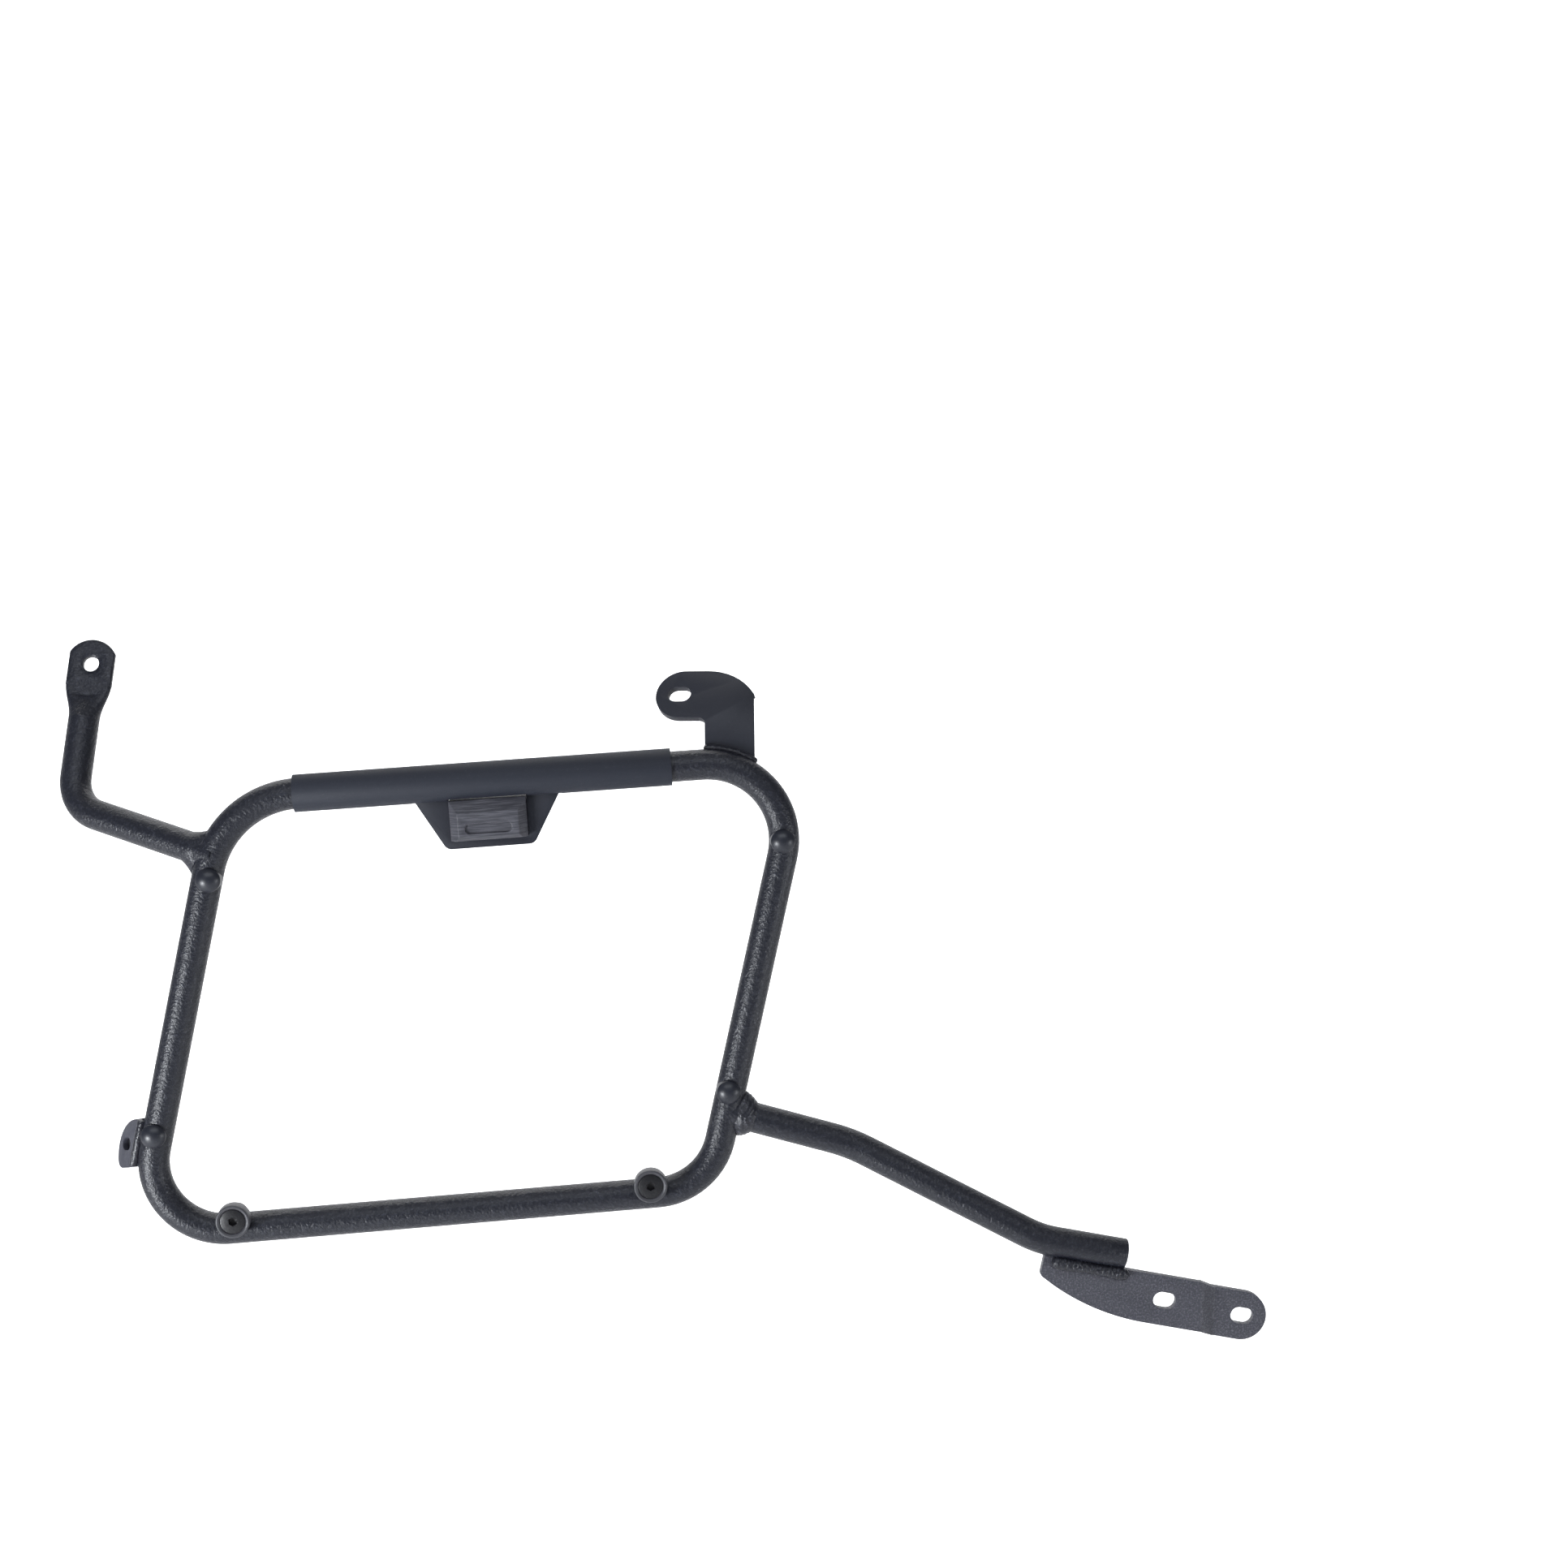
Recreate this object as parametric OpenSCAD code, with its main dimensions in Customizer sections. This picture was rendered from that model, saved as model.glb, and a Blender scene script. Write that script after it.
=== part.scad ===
// Pannier frame: a bent tube loop that carries a side case, two struts, three brackets and the case fixings.
// Lengths are in millimetres. X points to the front of the machine, Y inboard, Z up.
// The part is drawn from the loop's lower rear corner and moved so that the rear strut's eye is the origin.

/* [Tube loop] */
// outside diameter of all the tube
tube_d = 16; // [14:0.5:18]
// wall of all the tube
tube_wall = 2; // [1.2:0.1:2.4]
// length of the bottom tube between the corners of its axis
loop_w = 298.5; // [296:0.5:340]
// height of the loop between the axes of the top and bottom tubes
loop_h = 226; // [220:1:260]
// how far the top corners stand ahead of the bottom ones
loop_lean = 64.3; // [50:1:80]
// bend radius of the two lower corners, on the axis
low_bend_r = 36; // [30:1:42]
// bend radius of the upper front corner, on the axis
front_bend_r = 40; // [34:1:44]
// bend radius of the upper rear corner, on the axis
rear_bend_r = 50; // [40:1:54]

/* [Rear strut] */
// height of the strut's foot below the top tube's axis
rear_foot_drop = 28.3; // [27:0.1:100]
// corner of the strut's axis, from the loop's upper rear corner
rear_knee_from = [-86, 42, -3.4];
// centre of the strut's eye, from the loop's upper rear corner
eye_from = [-74.6, 68, 69.2];
// bend radius of the strut, on the axis
rear_knee_r = 22; // [18:1:26]
// diameter of the hole for an M8 screw
eye_d = 8.5; // [6.5:0.1:10.5]
// width of the flattened end
flat_w = 24; // [20:0.5:28]
// radius of the rounded tip about the hole
tip_r = 13.5; // [12.5:0.5:16]
// length of the full flat below the hole
flat_len = 13; // [11:0.5:18]
// length over which the tube goes from round to flat
swage_len = 17; // [12:0.5:22]

/* [Front strut] */
// height of the strut's foot on the front side tube
front_foot_z = 41.6; // [36:1:60]
// first corner of the strut's axis, from the loop's lower front corner
front_knee_from = [76.1, 0, 18.4];
// second corner of the strut's axis, from the loop's lower front corner
front_ankle_from = [172, -20, -36.65];
// length from the second corner to the open end
front_end_len = 46.7; // [40:0.5:60]
// slope of the end run below the horizontal
front_end_slope = 15; // [8:0.5:22]
// bend radius at the first corner
front_knee_r = 80; // [60:1:95]
// bend radius at the second corner
front_ankle_r = 55; // [40:1:65]

/* [Footpeg bracket] */
// thickness of the plate
peg_t = 4; // [3:0.5:5]
// depth of the plate below the end tube's lowest line, at the rear slot
peg_depth = 26.7; // [24:0.5:30]
// distance from the tube's open end to the step, along the top edge
peg_reach = 44.4; // [40:0.5:46]
// length of the edge that is welded under the tube
peg_weld_len = 42.7; // [36:0.5:46]
// inboard step of the plate's front end
peg_step = 6; // [2:0.5:8]
// distance from the tube's open end to the rear slot
peg_slot_x = 26.4; // [22:0.5:30]
// distance between the two slots
peg_slot_gap = 45.5; // [43:0.5:49]
// width of the plate's rounded front end
peg_nose_w = 26.5; // [24:0.5:29]

/* [Upper bracket] */
// thickness of the plate
arm_t = 4; // [3:0.5:5]
// distance of the foot's inner edge behind the loop's upper front corner
arm_back = 51; // [46:0.1:54]
// width of the plate's foot on the tube
arm_foot_w = 25.8; // [22:0.1:27]
// backward lean of the foot
arm_foot_lean = 12; // [6:1:16]
// forward turn of the foot in its own plane
arm_foot_turn = 3.6; // [0:0.1:6]
// further lean of the arm about the bend line
arm_bend = 30; // [15:1:40]
// width of the arm across its slot
arm_w = 28.7; // [26:0.1:33]
// reach of the arm from its inner corner to the middle of its rounded tip
arm_len = 14.7; // [12:0.1:20]
// height of the bend line's inner end above the tube
arm_bend_z = 15.6; // [10:0.1:18]
// slope of the bend line
arm_bend_slope = 29.2; // [20:0.2:34]

/* [Slots] */
// width of each bracket slot, for an M8 screw
slot_w = 9; // [8.5:0.1:9.5]
// whole length of each bracket slot
slot_len = 12.5; // [10.5:0.5:14]

/* [Brace tab] */
// thickness of the tab
tab_t = 3; // [2.5:0.5:4]
// reach of the tab beyond the tube
tab_len = 23.2; // [20:0.1:26]
// height of the tab
tab_h = 24.4; // [22:0.1:30]
// height of the tab's middle above the bottom tube's axis
tab_z = 49.8; // [46:0.1:80]
// width of the tab's slot, for an M6 screw
tab_slot_w = 6.6; // [6.2:0.1:7.5]
// whole length of the tab's slot
tab_slot_len = 8.2; // [8:0.1:11]
// downward turn of the tab in its own plane
tab_skew = 13; // [0:0.5:20]
// width across the flats of the nut behind the tab
nut_w = 10; // [9:0.5:13]
// thickness of the nut
nut_t = 5; // [3:0.5:6]
// bore of the nut, for an M6 thread
nut_bore = 5.2; // [4.2:0.1:6]

/* [Lock plate] */
// thickness of the plate
lock_t = 4; // [3:0.5:5]
// distance of the plate's middle ahead of the loop's upper rear corner
lock_ahead = 133.9; // [118:0.1:160]
// width of the plate at the tube
lock_top_w = 75; // [66:1:80]
// width of the plate at its lower edge
lock_low_w = 45; // [42:1:52]
// height of the plate below the tube
lock_h = 26.5; // [25:0.5:32]
// width of the window
window_w = 39.8; // [34:0.5:40]
// plate left below the window
window_sill = 4.6; // [3.5:0.1:5.5]

/* [Catch block] */
// how far the block stands out of the plate
catch_out = 9; // [6:0.5:12]
// slope width on the two sides
catch_side = 4.2; // [2:0.1:6]
// slope width on the upper edge
catch_ramp = 6; // [3:0.1:7]
// length of the groove in its face
groove_len = 24; // [16:0.5:27]
// width of the groove in its face
groove_w = 5.4; // [4:0.1:6.5]
// depth of the groove in its face
groove_depth = 1.2; // [0.5:0.1:2]

/* [Tube cover] */
// wall of the cover
cover_wall = 1.6; // [1.2:0.1:2.2]
// how far the cover's rear end reaches on to the bend
cover_over = 1.6; // [-20:0.1:2]
// distance from the cover's front end to the upper bracket
cover_front_gap = 18.2; // [4:0.1:40]
// width of the slit along the back
cover_slit = 6; // [3:0.5:8]

/* [Pads and plugs] */
// distance of the rear pad from the bottom tube's rear corner
pad_rear_x = 51.8; // [40:0.1:80]
// distance of the front pad from the bottom tube's front corner
pad_front_in = 30.9; // [29:0.1:70]
// height of the pads above the bottom tube's axis
pad_z = 8.2; // [7:0.1:9.5]
// outside diameter of a pad
pad_d = 17.4; // [16:0.1:19]
// thickness of a pad
pad_t = 7; // [5:0.5:9]
// outside diameter of the threaded bush under a pad
bush_d = 12; // [10:0.5:13]
// length of the bush
bush_len = 8; // [7:0.5:12]
// thread diameter of the pad screws
screw_d = 6; // [5:0.5:6.5]
// head diameter of the pad screws
screw_head_d = 12.8; // [11:0.1:13]
// width across the flats of the socket
socket_w = 4; // [3:0.5:5]
// diameter of the domed plugs
plug_d = 12.8; // [11:0.1:13.5]
// height of a plug above the tube
plug_rise = 3.8; // [2:0.1:5]
// diameter of the holes for the plugs
plug_hole_d = 6.5; // [5:0.1:8]
// upper rear plug: distance below the top tube's axis and offset from the tube's middle line
plug_rear_high = [40.4, 1.7];
// lower rear plug: height above the bottom tube's axis and offset from the tube's middle line
plug_rear_low = [54.7, -1.1];
// upper front plug: distance below the top tube's axis and offset from the tube's middle line
plug_front_high = [42.1, -2.2];
// lower front plug: height above the bottom tube's axis and offset from the tube's middle line
plug_front_low = [53.1, -1.7];

/* [Fits] */
// gap at a tube end or a plate cut to fit on a tube
cope_gap = 0.05; // [0.02:0.01:0.1]
// gap of the catch block in its window
catch_gap = 0.2; // [0.1:0.05:0.4]
// gap between the cover and the tube
cover_gap = 0.1; // [0.05:0.05:0.3]
// gap of the cover around the lock plate
notch_gap = 0.8; // [0.4:0.1:1.5]
// gap of a plug's stem and of a screw in its hole
hole_gap = 0.05; // [0.02:0.01:0.2]

/* [Hidden] */
$fn = 48;
tube_r = tube_d / 2;
bore_r = tube_r - tube_wall;
cope_r = tube_r + cope_gap;
// how far a cutter reaches past what it cuts
past = 1;
// straight lengths run this far into the bends, and are this much thinner, so that they join cleanly
joint_lap = 0.3;
joint_step = 0.04;
axis_x = [1, 0, 0];
axis_y = [0, 1, 0];

// corners of the loop's axis, from the lower rear one forwards and round
loop_pts = [[0, 0, 0], [loop_w, 0, 0], [loop_w + loop_lean, 0, loop_h], [loop_lean, 0, loop_h]];
loop_radii = [low_bend_r, low_bend_r, front_bend_r, rear_bend_r];
side_dir = unit([loop_lean, 0, loop_h]);

// rear strut
rear_foot = on_side(0, loop_h - rear_foot_drop);
rear_knee = loop_pts[3] + rear_knee_from;
eye_at = loop_pts[3] + eye_from;
rear_dir = unit(rear_knee - rear_foot);
eye_dir = unit(eye_at - rear_knee);
eye_side = perp(axis_x, eye_dir);
eye_normal = cross(eye_side, eye_dir);
flat_t = 2 * tube_wall;
bore_stop = 5.1;
bore_slit_w = 18;
bore_slit_t = 0.4;

// front strut
front_foot = on_side(loop_w, front_foot_z);
front_knee = loop_pts[1] + front_knee_from;
front_ankle = loop_pts[1] + front_ankle_from;
front_dir = unit(front_knee - front_foot);
end_dir = [cos(front_end_slope), 0, -sin(front_end_slope)];
end_up = [sin(front_end_slope), 0, cos(front_end_slope)];
front_tip = front_ankle + end_dir * front_end_len;

// footpeg bracket, drawn from the lowest point of the open end, x along the tube and y up
peg_rise = 0.2;
peg_under = tube_r / 2;
peg_belly_r = 125;
peg_belly_x = 18.4;
peg_heel_r = 2.5;
peg_slot_drop = 13;
peg_nose_drop = 2.9;
peg_nose_x = peg_slot_x + peg_slot_gap;
peg_nose_z = -peg_slot_drop - peg_nose_drop;
peg_nose_r = peg_nose_w / 2;
peg_step_run = 8;
peg_step_lean = 5.2;
peg_skew = 10;
peg_bend_r = 5;

// upper bracket
arm_corner_r = 32;
arm_inner_r = 4.7;
arm_out = 2;
arm_below = 11;
arm_rise = 2.9;
arm_slot_back = 1.6;
arm_turn = 35.2;
arm_seat = 1.6;
arm_x = loop_pts[2][0] - arm_back;
foot_rise = [0, sin(arm_foot_lean), cos(arm_foot_lean)];
foot_up = foot_rise * cos(arm_foot_turn) + axis_x * sin(arm_foot_turn);
foot_x = axis_x * cos(arm_foot_turn) - foot_rise * sin(arm_foot_turn);
foot_out = cross(foot_x, foot_up);
foot_at = [arm_x, arm_out, loop_h + tube_r - arm_seat];
bend_at = foot_at + foot_up * arm_bend_z;
bend_dir = foot_x * cos(arm_bend_slope) + foot_up * sin(arm_bend_slope);
bend_len = arm_foot_w / cos(arm_bend_slope);
bend_rise = arm_foot_w * tan(arm_bend_slope);
arm_up = cross(foot_out, bend_dir) * cos(arm_bend) - foot_out * sin(arm_bend);

// brace tab, x away from the tube and y up along it
tab_turn = 38.5;
tab_dir = [-sin(tab_turn), cos(tab_turn), 0];
tab_up = perp(side_dir, tab_dir);
tab_out = cross(tab_dir, tab_up);
tab_back = -5;
tab_low_r = 5;
tab_high_r = 18;
tab_slot_x = 14;
tab_root = 1.5;
tab_reach = tube_r * cos(asin(-tab_back / tube_r));

// lock plate
lock_corner_r = 4.5;
lock_x = loop_lean + lock_ahead;
lock_z = loop_h - tube_r - lock_h;
window_z = lock_z + window_sill;
lip = 1.8;
lip_t = 2;

// catch block
catch_w = window_w - 2 * catch_gap;
catch_z = window_z + catch_gap;
catch_h = 20.5;
catch_front = -lock_t / 2 - catch_out;
catch_low = 2;
catch_depth = 5;
groove_up = 6.2;
groove_z = catch_z + groove_up;

// tube cover
cover_r = tube_r + cover_gap + cover_wall;
cover_x = loop_lean + bend_cut(loop_pts[2], loop_pts[3], loop_pts[0], rear_bend_r) - cover_over;
cover_len = arm_x - cover_front_gap - cover_x;
cover_back = lock_x - cover_x;

// bushes, pads and screws
pad_front_x = loop_w - pad_front_in;
bush_front = -9;
bush_floor = 2;
pad_hole_gap = 0.3;
pad_hole_d = screw_d + 2 * pad_hole_gap;
pad_edge = 0.5;
screw_short = 4;
screw_len = pad_t + bush_len - screw_short;
head_sink = 0.6;
head_rim = 0.3;
head_h = (screw_head_d - screw_d) / 2;
socket_depth = 2.6;
dish_depth = 0.5;
dish_slope = 0.9;

// plugs
plug_skirt = 0.6;
plug_bead = 1.5;
plug_feet = [on_side(plug_rear_high[1], loop_h - plug_rear_high[0]), on_side(plug_rear_low[1], plug_rear_low[0]),
    on_side(loop_w + plug_front_high[1], loop_h - plug_front_high[0]),
    on_side(loop_w + plug_front_low[1], plug_front_low[0])];

// welds
rear_weld_leg = 4.3;
front_weld_leg = 5.2;
weld_climb = 6.5;
weld_lip = 0.2;
weld_side = 1.2;
weld_clear = 0.3;
peg_weld_r = 3.4;
peg_weld_off = 2.2;
peg_weld_drop = 0.4;
peg_weld_in = 0.5;
peg_weld_run = 2;
peg_weld_end = 1.5;
peg_weld_tip = 0.6;
arm_weld_r = 1.8;
arm_weld_past = -1;
arm_weld_front = [8.4, 1];
arm_weld_back = [5.6, 0.9];
tab_weld_r = 2.4;
tab_weld_drop = 1.4;
tab_weld_off = 0.8;
tab_weld_up = 0.9;

function unit(v) = v / norm(v);
// the part of v square to the unit vector n
function perp(v, n) = unit(v - (v * n) * n);
// point of a side tube's axis at a height, from the foot of that side
function on_side(x, z) = [x + loop_lean * z / loop_h, 0, z];
// turn of an axis at b, in degrees
function turn(a, b, c) = acos(unit(b - a) * unit(c - b));
// length of straight that a bend of radius r takes from each side of its corner
function bend_cut(a, b, c, r) = r * tan(turn(a, b, c) / 2);
// points of a polygon corner rounded to radius r
function round_at(a, b, c, r, n = 8) =
    let (u = unit(a - b), v = unit(c - b), half = acos(u * v) / 2, m = b + unit(u + v) * r / sin(half))
    let (p = b + u * r / tan(half), q = b + v * r / tan(half))
    let (a0 = atan2(p[1] - m[1], p[0] - m[0]), a1 = atan2(q[1] - m[1], q[0] - m[0]))
    let (sweep = (a1 - a0 + 540) % 360 - 180)
    [for (i = [0:n]) m + r * [cos(a0 + sweep * i / n), sin(a0 + sweep * i / n)]];
// polygon with a radius for each corner, 0 for a sharp one
function rounded(pts, radii) =
    [for (i = [0:len(pts) - 1])
        for (p = radii[i] > 0
            ? round_at(pts[(i + len(pts) - 1) % len(pts)], pts[i], pts[(i + 1) % len(pts)], radii[i])
            : [pts[i]]) p];

// moves a child drawn at the origin to o, with its axes along x, y and z
module place(o, x, y, z) {
    multmatrix([[x[0], y[0], z[0], o[0]], [x[1], y[1], z[1], o[1]], [x[2], y[2], z[2], o[2]], [0, 0, 0, 1]])
        children();
}

// a plain round bar from a to b
module rod(a, b, r) {
    z = unit(b - a);
    x = perp(abs(z[1]) < 0.9 ? axis_y : axis_x, z);
    place(a, x, cross(z, x), z)
        cylinder(h = norm(b - a), r = r);
}

// the curved bar of a bend at b
module elbow(a, b, c, bend_r, r) {
    d = unit(b - a);
    n = perp(unit(c - b), d);
    place(b - d * bend_cut(a, b, c, bend_r) + n * bend_r, -n, d, cross(-n, d))
        rotate_extrude(angle = turn(a, b, c), $fn = 144)
            translate([bend_r, 0])
                circle(r = r);
}

// a bar along open points with a bend at each inner one
module bar_run(pts, radii, r) {
    last = len(pts) - 1;
    cuts = [for (i = [0:last]) i == 0 || i == last ? 0 : bend_cut(pts[i - 1], pts[i], pts[i + 1], radii[i - 1])];
    for (i = [0:last - 1]) {
        d = unit(pts[i + 1] - pts[i]);
        from = i == 0 ? 0 : cuts[i] - joint_lap;
        to = i == last - 1 ? 0 : cuts[i + 1] - joint_lap;
        rod(pts[i] + d * from, pts[i + 1] - d * to, r - joint_step);
    }
    for (i = [1:last - 1])
        elbow(pts[i - 1], pts[i], pts[i + 1], radii[i - 1], r);
}

// a point of the upper bracket's arm, from the bend's inner end, with a along the finger and b across it
function finger(a, b) = [a * cos(arm_turn) + b * sin(arm_turn), b * cos(arm_turn) - a * sin(arm_turn)];

// the closed bar of the loop
module loop_bar(r) {
    for (i = [0:3]) {
        a = loop_pts[(i + 3) % 4];
        b = loop_pts[i];
        c = loop_pts[(i + 1) % 4];
        e = loop_pts[(i + 2) % 4];
        d = unit(c - b);
        from = bend_cut(a, b, c, loop_radii[i]) - joint_lap;
        to = bend_cut(b, c, e, loop_radii[(i + 1) % 4]) - joint_lap;
        rod(b + d * from, c - d * to, r - joint_step);
        elbow(a, b, c, loop_radii[i], r);
    }
}

// a slot with round ends, drawn along x
module slot_2d(len, w) {
    square([len - w, w], center = true);
    for (s = [-1, 1])
        translate([s * (len - w) / 2, 0])
            circle(d = w);
}

// a flared bead around a strut's foot, flat on the two sides where the tubes are as wide as each other
module collar(foot, dir, across, leg) {
    side = perp(across, dir);
    place(foot, side, cross(dir, side), dir)
        intersection() {
            rotate_extrude($fn = 96)
                polygon([[0, 0], [tube_r + leg, 0], [tube_r + leg, tube_r],
                    [tube_r + weld_lip, tube_r + weld_climb], [0, tube_r + weld_climb]]);
            translate([0, 0, tube_d])
                cube([4 * tube_d, tube_d + 2 * weld_side, 4 * tube_d], center = true);
        }
}

module loop_tube() {
    color("#26282e")
        difference() {
            loop_bar(tube_r);
            loop_bar(bore_r);
            for (x = [pad_rear_x, pad_front_x])
                rod([x, -tube_d, pad_z], [x, bush_front + bush_len, pad_z], bush_d / 2);
            for (foot = plug_feet)
                rod(foot, foot - axis_y * tube_d, plug_hole_d / 2);
        }
}

module rear_strut() {
    swage_at = eye_at - eye_dir * (flat_len + swage_len);
    color("#26282e")
        difference() {
            union() {
                bar_run([rear_foot, rear_knee, swage_at], [rear_knee_r], tube_r);
                swage(0, flat_w, flat_t, tube_r);
                place(eye_at, eye_side, eye_normal, eye_dir)
                    rotate([90, 0, 0])
                        linear_extrude(height = flat_t, center = true)
                            eye_outline();
            }
            bar_run([rear_foot - rear_dir * past, rear_knee, swage_at], [rear_knee_r], bore_r);
            swage(bore_stop, bore_slit_w, bore_slit_t, bore_r);
            rod(eye_at - eye_normal * tube_d, eye_at + eye_normal * tube_d, eye_d / 2);
            loop_bar(cope_r);
        }
}

// tapered length between the round tube and its flat end
module swage(short, w, t, r) {
    place(eye_at, eye_side, eye_normal, eye_dir)
        hull() {
            translate([0, 0, -flat_len - swage_len - joint_lap])
                cylinder(h = joint_step, r = r - 2 * joint_step, $fn = 32);
            translate([0, 0, -flat_len - short])
                cube([w, t, joint_step], center = true);
        }
}

// outline of the flat end about its hole, with y towards the tip
module eye_outline() {
    intersection() {
        union() {
            circle(r = tip_r);
            translate([-flat_w / 2, -flat_len - joint_lap])
                square([flat_w, flat_len + joint_lap]);
        }
        translate([-flat_w / 2, -2 * flat_len])
            square([flat_w, 2 * flat_len + tip_r]);
    }
}

module front_strut() {
    pts = [front_foot, front_knee, front_ankle, front_tip];
    radii = [front_knee_r, front_ankle_r];
    color("#26282e")
        difference() {
            bar_run(pts, radii, tube_r);
            bar_run([front_foot - front_dir * past, front_knee, front_ankle, front_tip + end_dir * past],
                radii, bore_r);
            loop_bar(cope_r);
        }
}

// the outside of the front strut near its open end
module end_bar(r) {
    bar_run([front_knee, front_ankle, front_tip], [front_ankle_r], r);
}

// puts a child at the lowest point of the open end, x along the tube, y inboard, z up
module at_peg() {
    place(front_tip - end_up * tube_r, end_dir, axis_y, end_up)
        children();
}

// height of the footpeg bracket's curved lower edge
function belly(x) = peg_belly_r - peg_depth - sqrt(pow(peg_belly_r, 2) - pow(x - peg_belly_x, 2));

// outline of the footpeg bracket without its round nose
function peg_outline() =
    let (heel = -peg_weld_len, low = peg_nose_z - peg_nose_r, high = peg_nose_z + peg_nose_r)
    concat(
        [[0, peg_rise], [0, peg_under], [heel, peg_under]],
        round_at([heel, peg_under], [heel, belly(heel)], [heel + peg_heel_r, belly(heel + peg_heel_r)], peg_heel_r),
        [for (i = [1:16]) let (x = heel + peg_heel_r * 2 + (peg_belly_x - heel - peg_heel_r * 2) * i / 16)
            [x, belly(x)]],
        [[peg_reach + peg_step_lean, -peg_depth], [peg_reach + peg_step_lean + peg_step_run, low],
            [peg_nose_x, low], [peg_nose_x, high], [peg_reach + peg_step_run, high], [peg_reach, peg_rise]]);

// section of the stepped plate, x from the start of the step and y inboard
function peg_section() =
    let (a = atan2(peg_step, peg_step_run), h = peg_t / 2, s = h * tan(a / 2), far = 4 * peg_nose_x)
    rounded([[-far, -h], [s, -h], [peg_step_run + s, peg_step - h], [far, peg_step - h],
        [far, peg_step + h], [peg_step_run - s, peg_step + h], [-s, h], [-far, h]],
        [0, peg_bend_r, peg_bend_r - peg_t / 2, 0, 0, peg_bend_r, peg_bend_r - peg_t / 2, 0]);

module footpeg_bracket() {
    color("#303138")
        difference() {
            at_peg()
                difference() {
                    intersection() {
                        rotate([90, 0, 0])
                            linear_extrude(height = 4 * tube_d, center = true) {
                                polygon(peg_outline());
                                translate([peg_nose_x, peg_nose_z])
                                    circle(r = peg_nose_r, $fn = 96);
                            }
                        translate([peg_reach, 0, 0])
                            rotate([0, -peg_skew, 0])
                                linear_extrude(height = 8 * tube_d, center = true)
                                    polygon(peg_section());
                    }
                    for (p = [[peg_slot_x, -peg_slot_drop], [peg_nose_x, peg_nose_z]])
                        translate([p[0], 0, p[1]])
                            rotate([90, 0, 0])
                                linear_extrude(height = 4 * tube_d, center = true)
                                    slot_2d(slot_len, slot_w);
                }
            end_bar(cope_r);
        }
}

// foot and arm of the upper bracket, each drawn on its front face
module upper_plate() {
    place(foot_at, foot_x, foot_up, foot_out)
        translate([0, 0, -arm_t])
            linear_extrude(height = arm_t)
                polygon([[0, -arm_below], [arm_foot_w, -arm_below], [arm_foot_w, arm_bend_z + bend_rise],
                    [0, arm_bend_z]]);
    place(bend_at, bend_dir, arm_up, cross(bend_dir, arm_up))
        translate([0, 0, -arm_t])
            linear_extrude(height = arm_t)
                arm_outline();
}

module arm_outline() {
    top = arm_rise + arm_w;
    tip_a = -arm_len;
    corner = [bend_len, (top - bend_len * sin(arm_turn)) / cos(arm_turn)];
    inner = [0, arm_rise / cos(arm_turn)];
    tip = [for (t = [0:6:180]) finger(tip_a - arm_w / 2 * sin(t), arm_rise + arm_w / 2 * (1 + cos(t)))];
    difference() {
        polygon(concat([[0, 0], [bend_len, 0]], round_at([bend_len, 0], corner, tip[0], arm_corner_r), tip,
            round_at(tip[len(tip) - 1], inner, [0, 0], arm_inner_r)));
        translate(finger(tip_a - arm_slot_back, arm_rise + arm_w / 2))
            rotate(-arm_turn)
                slot_2d(slot_len, slot_w);
    }
}

module upper_bracket() {
    color("#2c2e38")
        difference() {
            upper_plate();
            loop_bar(cope_r);
        }
}

// puts a child on the rear side tube's axis, x away from the tube, y up and z square to the tab
module at_tab() {
    place(on_side(0, tab_z), tab_dir, tab_up, tab_out)
        children();
}

module tab_plate() {
    end = tab_reach + tab_len;
    at_tab()
        translate([0, 0, tab_back - tab_t / 2])
            linear_extrude(height = tab_t)
                difference() {
                    rotate(-tab_skew)
                        difference() {
                            polygon(rounded([[0, -tab_h / 2], [end, -tab_h / 2], [end, tab_h / 2], [0, tab_h / 2]],
                                [0, tab_low_r, tab_high_r, 0]));
                            translate([tab_reach + tab_slot_x, 0])
                                slot_2d(tab_slot_len, tab_slot_w);
                        }
                    translate([tab_root - 2 * tab_h, -tab_h])
                        square(2 * tab_h);
                }
}

module brace_tab() {
    color("#303138")
        difference() {
            tab_plate();
            loop_bar(cope_r);
        }
}

module brace_nut() {
    color("#303138")
        at_tab()
            translate([0, 0, tab_back + tab_t / 2])
                rotate(-tab_skew)
                    translate([tab_reach + tab_slot_x, 0, 0])
                        difference() {
                            cylinder(h = nut_t, d = nut_w / cos(30), $fn = 6);
                            translate([0, 0, -past])
                                cylinder(h = nut_t + 2 * past, d = nut_bore);
                        }
}

module lock_plate() {
    low = lock_z;
    top = loop_h - tube_r;
    up = loop_h - tube_r / 2;
    half = lock_top_w / 2;
    color("#303138")
        difference() {
            translate([lock_x, 0, 0])
                rotate([90, 0, 0])
                    linear_extrude(height = lock_t, center = true)
                        difference() {
                            polygon(rounded([[-lock_low_w / 2, low], [lock_low_w / 2, low], [half, top],
                                [half, up], [-half, up], [-half, top]], [lock_corner_r, lock_corner_r, 0, 0, 0, 0]));
                            translate([-window_w / 2, window_z])
                                square([window_w, lock_h * 2]);
                        }
            loop_bar(cope_r);
        }
}

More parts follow.
